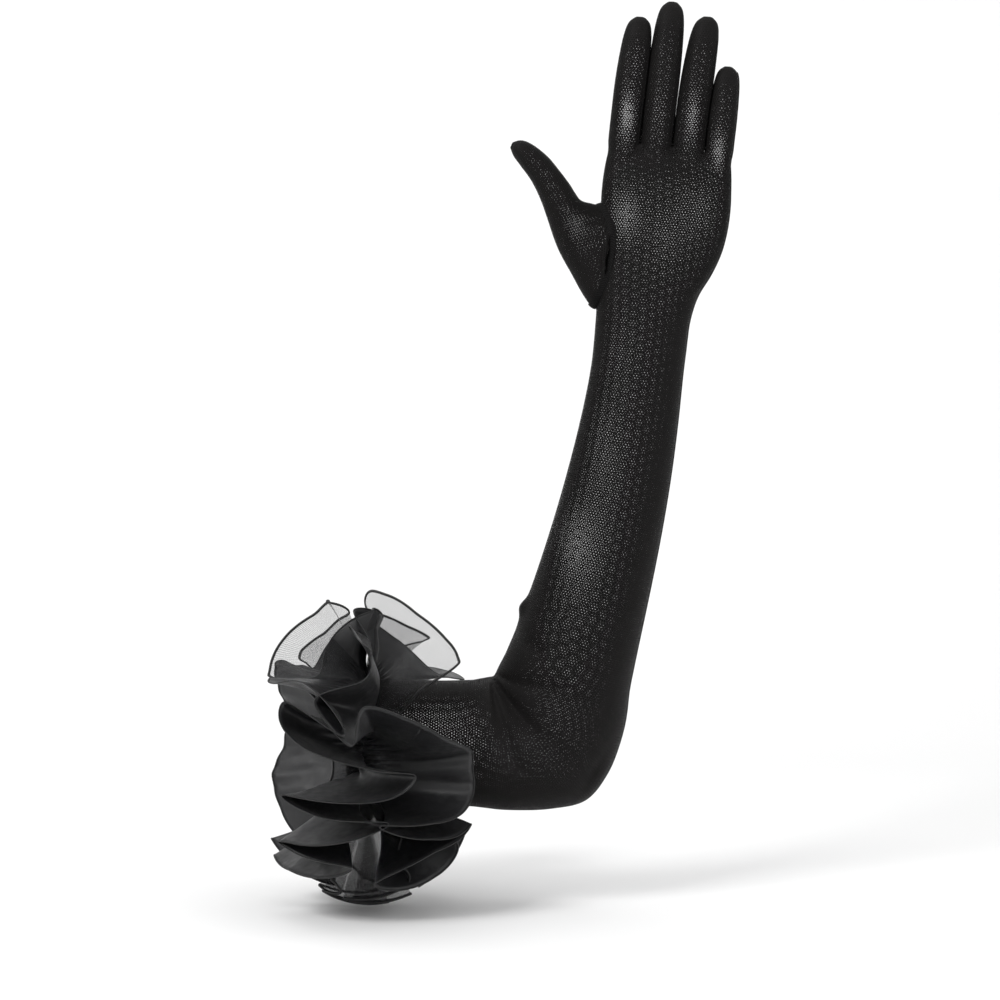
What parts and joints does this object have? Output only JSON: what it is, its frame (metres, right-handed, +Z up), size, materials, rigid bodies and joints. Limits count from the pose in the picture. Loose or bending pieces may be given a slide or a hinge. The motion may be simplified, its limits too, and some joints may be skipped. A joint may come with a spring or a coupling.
{
  "type": "mesh opera glove",
  "caption": "Long see-through net glove for a left hand, bent at the elbow as worn, with a gathered satin and organza ruffle round its top.",
  "frame": {"origin": "centre of the sleeve's top opening, where the upper arm goes in and holds the glove", "axes": "+Z up along the raised forearm and hand, +X from the top opening down the upper arm to the elbow, -Y the side that the palm faces"},
  "size_m": [0.2761, 0.1814, 0.5124],
  "materials": {
    "net": "fine black stretch net, see-through, matt",
    "seam": "black doubled net under dense black stitching, matt",
    "satin": "black satin, soft sheen, overlocked hem",
    "organza": "sheer black organza, overlocked hem"
  },
  "bodies": {
    "root": {"upper_sleeve": "net", "forearm_sleeve": "net", "hand": "net", "thumb": "net", "index_finger": "net", "middle_finger": "net", "ring_finger": "net", "little_finger": "net", "fourchette_index_middle": "net", "fourchette_middle_ring": "net", "fourchette_ring_little": "net", "thumb_seam": "seam", "hand_side_seam": "seam", "little_finger_seam": "seam", "side_seam": "seam", "satin_ruffle": "satin", "organza_ruffle": "organza"}
  },
  "joints": []
}
